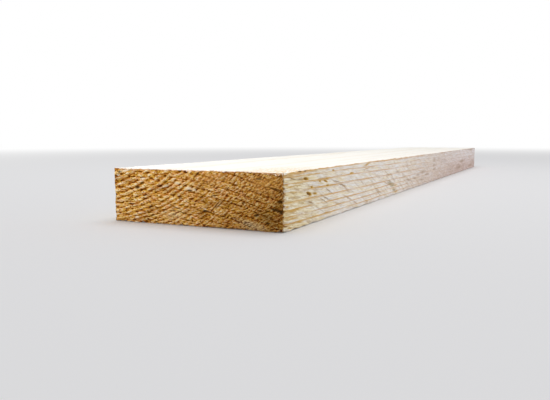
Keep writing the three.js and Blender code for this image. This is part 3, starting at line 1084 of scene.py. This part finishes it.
# %% Inside the hollows, and the sheen and bump of the edge
# A fresh tear is ochre at its rim, and the brown in its depth is painted shade.
hollow = bowls(tree, torn, front_egg, TORN_HOLLOWS)
hollow = add(tree, MATH, hollow, on_front, operation="MULTIPLY")
depth = add(tree, MATH, hollow, 0.6, operation="MULTIPLY")
inside = add(tree, RAMP, depth, stops=((0.06, "#E6C478"), (0.3, "#C89C3C"), (0.8, "#88601A")))
hollow = add(tree, REMAP, hollow, From_Max=0.3, To_Max=0.95)
colour = add(tree, MIX, hollow, colour, inside, data_type="RGBA")
tree.links.new(colour, shader.inputs["Base Color"])
dullness = add(tree, REMAP, streak, To_Min=0.9, To_Max=0.72)
tree.links.new(dullness, shader.inputs["Roughness"])
relief = add(tree, MATH, coarse, -0.5, streak, operation="MULTIPLY_ADD")
bump = add(tree, "ShaderNodeBump", Height=relief, Distance=0.5 * MM, Strength=0.7)
tree.links.new(bump, shader.inputs["Normal"])
print("narrow edges:", len(tree.nodes), "nodes")

# %% [markdown]
# ### Band-sawn broad faces
#
# The broad faces run nearly along the rings, so a year spreads out into a wide, faint flame instead
# of a line. They are the palest sides, cream to nearly white, with a dull, silky streak along the
# grain. Their arrises could be left clean, but the saws tore them, and torn fibres look orange
# against the pale face. So a ragged fringe follows each arris and is widest at the ends.

# %% Pale wood with faint flames
sawn_face, tree, shader = new_material("spruce_band_sawn_face", SAWN_SPECULAR)
place = place_in_mm(tree)
part = add(tree, SPLIT, place, output=None)
late = add(tree, MATH, late_wood(tree, place), 0.6, operation="MULTIPLY")
colour = add(tree, MIX, late, linear("#FDFBF6"), linear("#F6EEE1"), data_type="RGBA")
streak = fibres(tree, place)
tone = add(tree, RAMP, streak, stops=((0.0, "#F9F5EE"), (0.5, "#FDFCFA"), (1.0, "#FFFFFF")))
colour = add(tree, MIX, 0.8, colour, tone, data_type="RGBA", blend_type="MULTIPLY")
broken = add(tree, MATH, break_out(tree, place), 0.9, operation="MULTIPLY")
colour = add(tree, MIX, broken, colour, linear("#C8904C"), data_type="RGBA")
print("broad faces: streaks", FIBRE[1], "mm wide")

# %% Torn fringe along the arrises
FRINGE_TEAR = (5, 1.6, 1.6)
FRINGE_REACH = 12
END_TO_EDGE = 2.4
WORN_CORNER = (190, 110, 60)

ragged = add(tree, NOISE, stretched(tree, place, FRINGE_TEAR), Scale=1, Detail=3, Roughness=0.65)
to_end = add(tree, MATH, part.outputs["X"], operation="ABSOLUTE")
to_end = add(tree, MATH, -END_X, to_end, operation="SUBTRACT")
to_edge = add(tree, MATH, part.outputs["Y"], operation="ABSOLUTE")
to_edge = add(tree, MATH, -FRONT_Y, to_edge, operation="SUBTRACT")
to_edge = add(tree, MATH, to_edge, END_TO_EDGE, operation="MULTIPLY")
to_arris = add(tree, MATH, to_end, to_edge, operation="MINIMUM")
fringe = add(tree, MATH, ragged, FRINGE_REACH, to_arris, operation="MULTIPLY_ADD")
fringe = add(tree, REMAP, fringe, From_Min=8.4, From_Max=5.6, To_Max=0.85)
colour = add(tree, MIX, fringe, colour, linear("#C88444"), data_type="RGBA")
worn = egg(tree, place, (END_X + 20, FRONT_Y + 12, TOP_Z), WORN_CORNER, "Z_AXIS", 0)
worn = add(tree, MATH, worn, add(tree, REMAP, ragged, From_Min=0.44, From_Max=0.6), operation="MULTIPLY")
worn = add(tree, MATH, worn, 1.2, operation="MULTIPLY", use_clamp=True)
colour = add(tree, MIX, worn, colour, linear("#EACC98"), data_type="RGBA")
tree.links.new(colour, shader.inputs["Base Color"])
dullness = add(tree, REMAP, streak, To_Min=0.9, To_Max=0.72)
tree.links.new(dullness, shader.inputs["Roughness"])
bump = add(tree, "ShaderNodeBump", Height=streak, Distance=0.4 * MM, Strength=0.5)
tree.links.new(bump, shader.inputs["Normal"])
print("broad faces:", len(tree.nodes), "nodes")

# %% [markdown]
# ## Hand over
#
# The plank is one piece of wood with no moving part. It rides on the one body of the frame and
# stands for the plain solid, which stays underneath for collisions. The three finishes go on in the
# order of the sides that they belong to: the ends, the narrow edges and the broad faces. At the end
# the boxes of the solid and of the dressed plank are worked out, and the dressed plank's is printed.

# %% Materials onto the plank
for material in (end_grain, sawn_edge, sawn_face):
    plank.data.materials.append(material)
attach(plank, "root")
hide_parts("plank")
print("finishes on the plank:", [material.name for material in plank.data.materials])

# %% Small lamps on the plank alone
plank_alone = bpy.data.collections.new("lit_by_the_small_lamps")
plank_alone.objects.link(plank)
for name in ("raking", "front fill"):
    bpy.data.objects[name].light_linking.receiver_collection = plank_alone

# %% Finish
boxes = {"cad": cad_box, "visual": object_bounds()}
boxes = {name: [list(corner) for corner in box] for name, box in boxes.items()}
print("box of the dressed plank:", boxes["visual"])
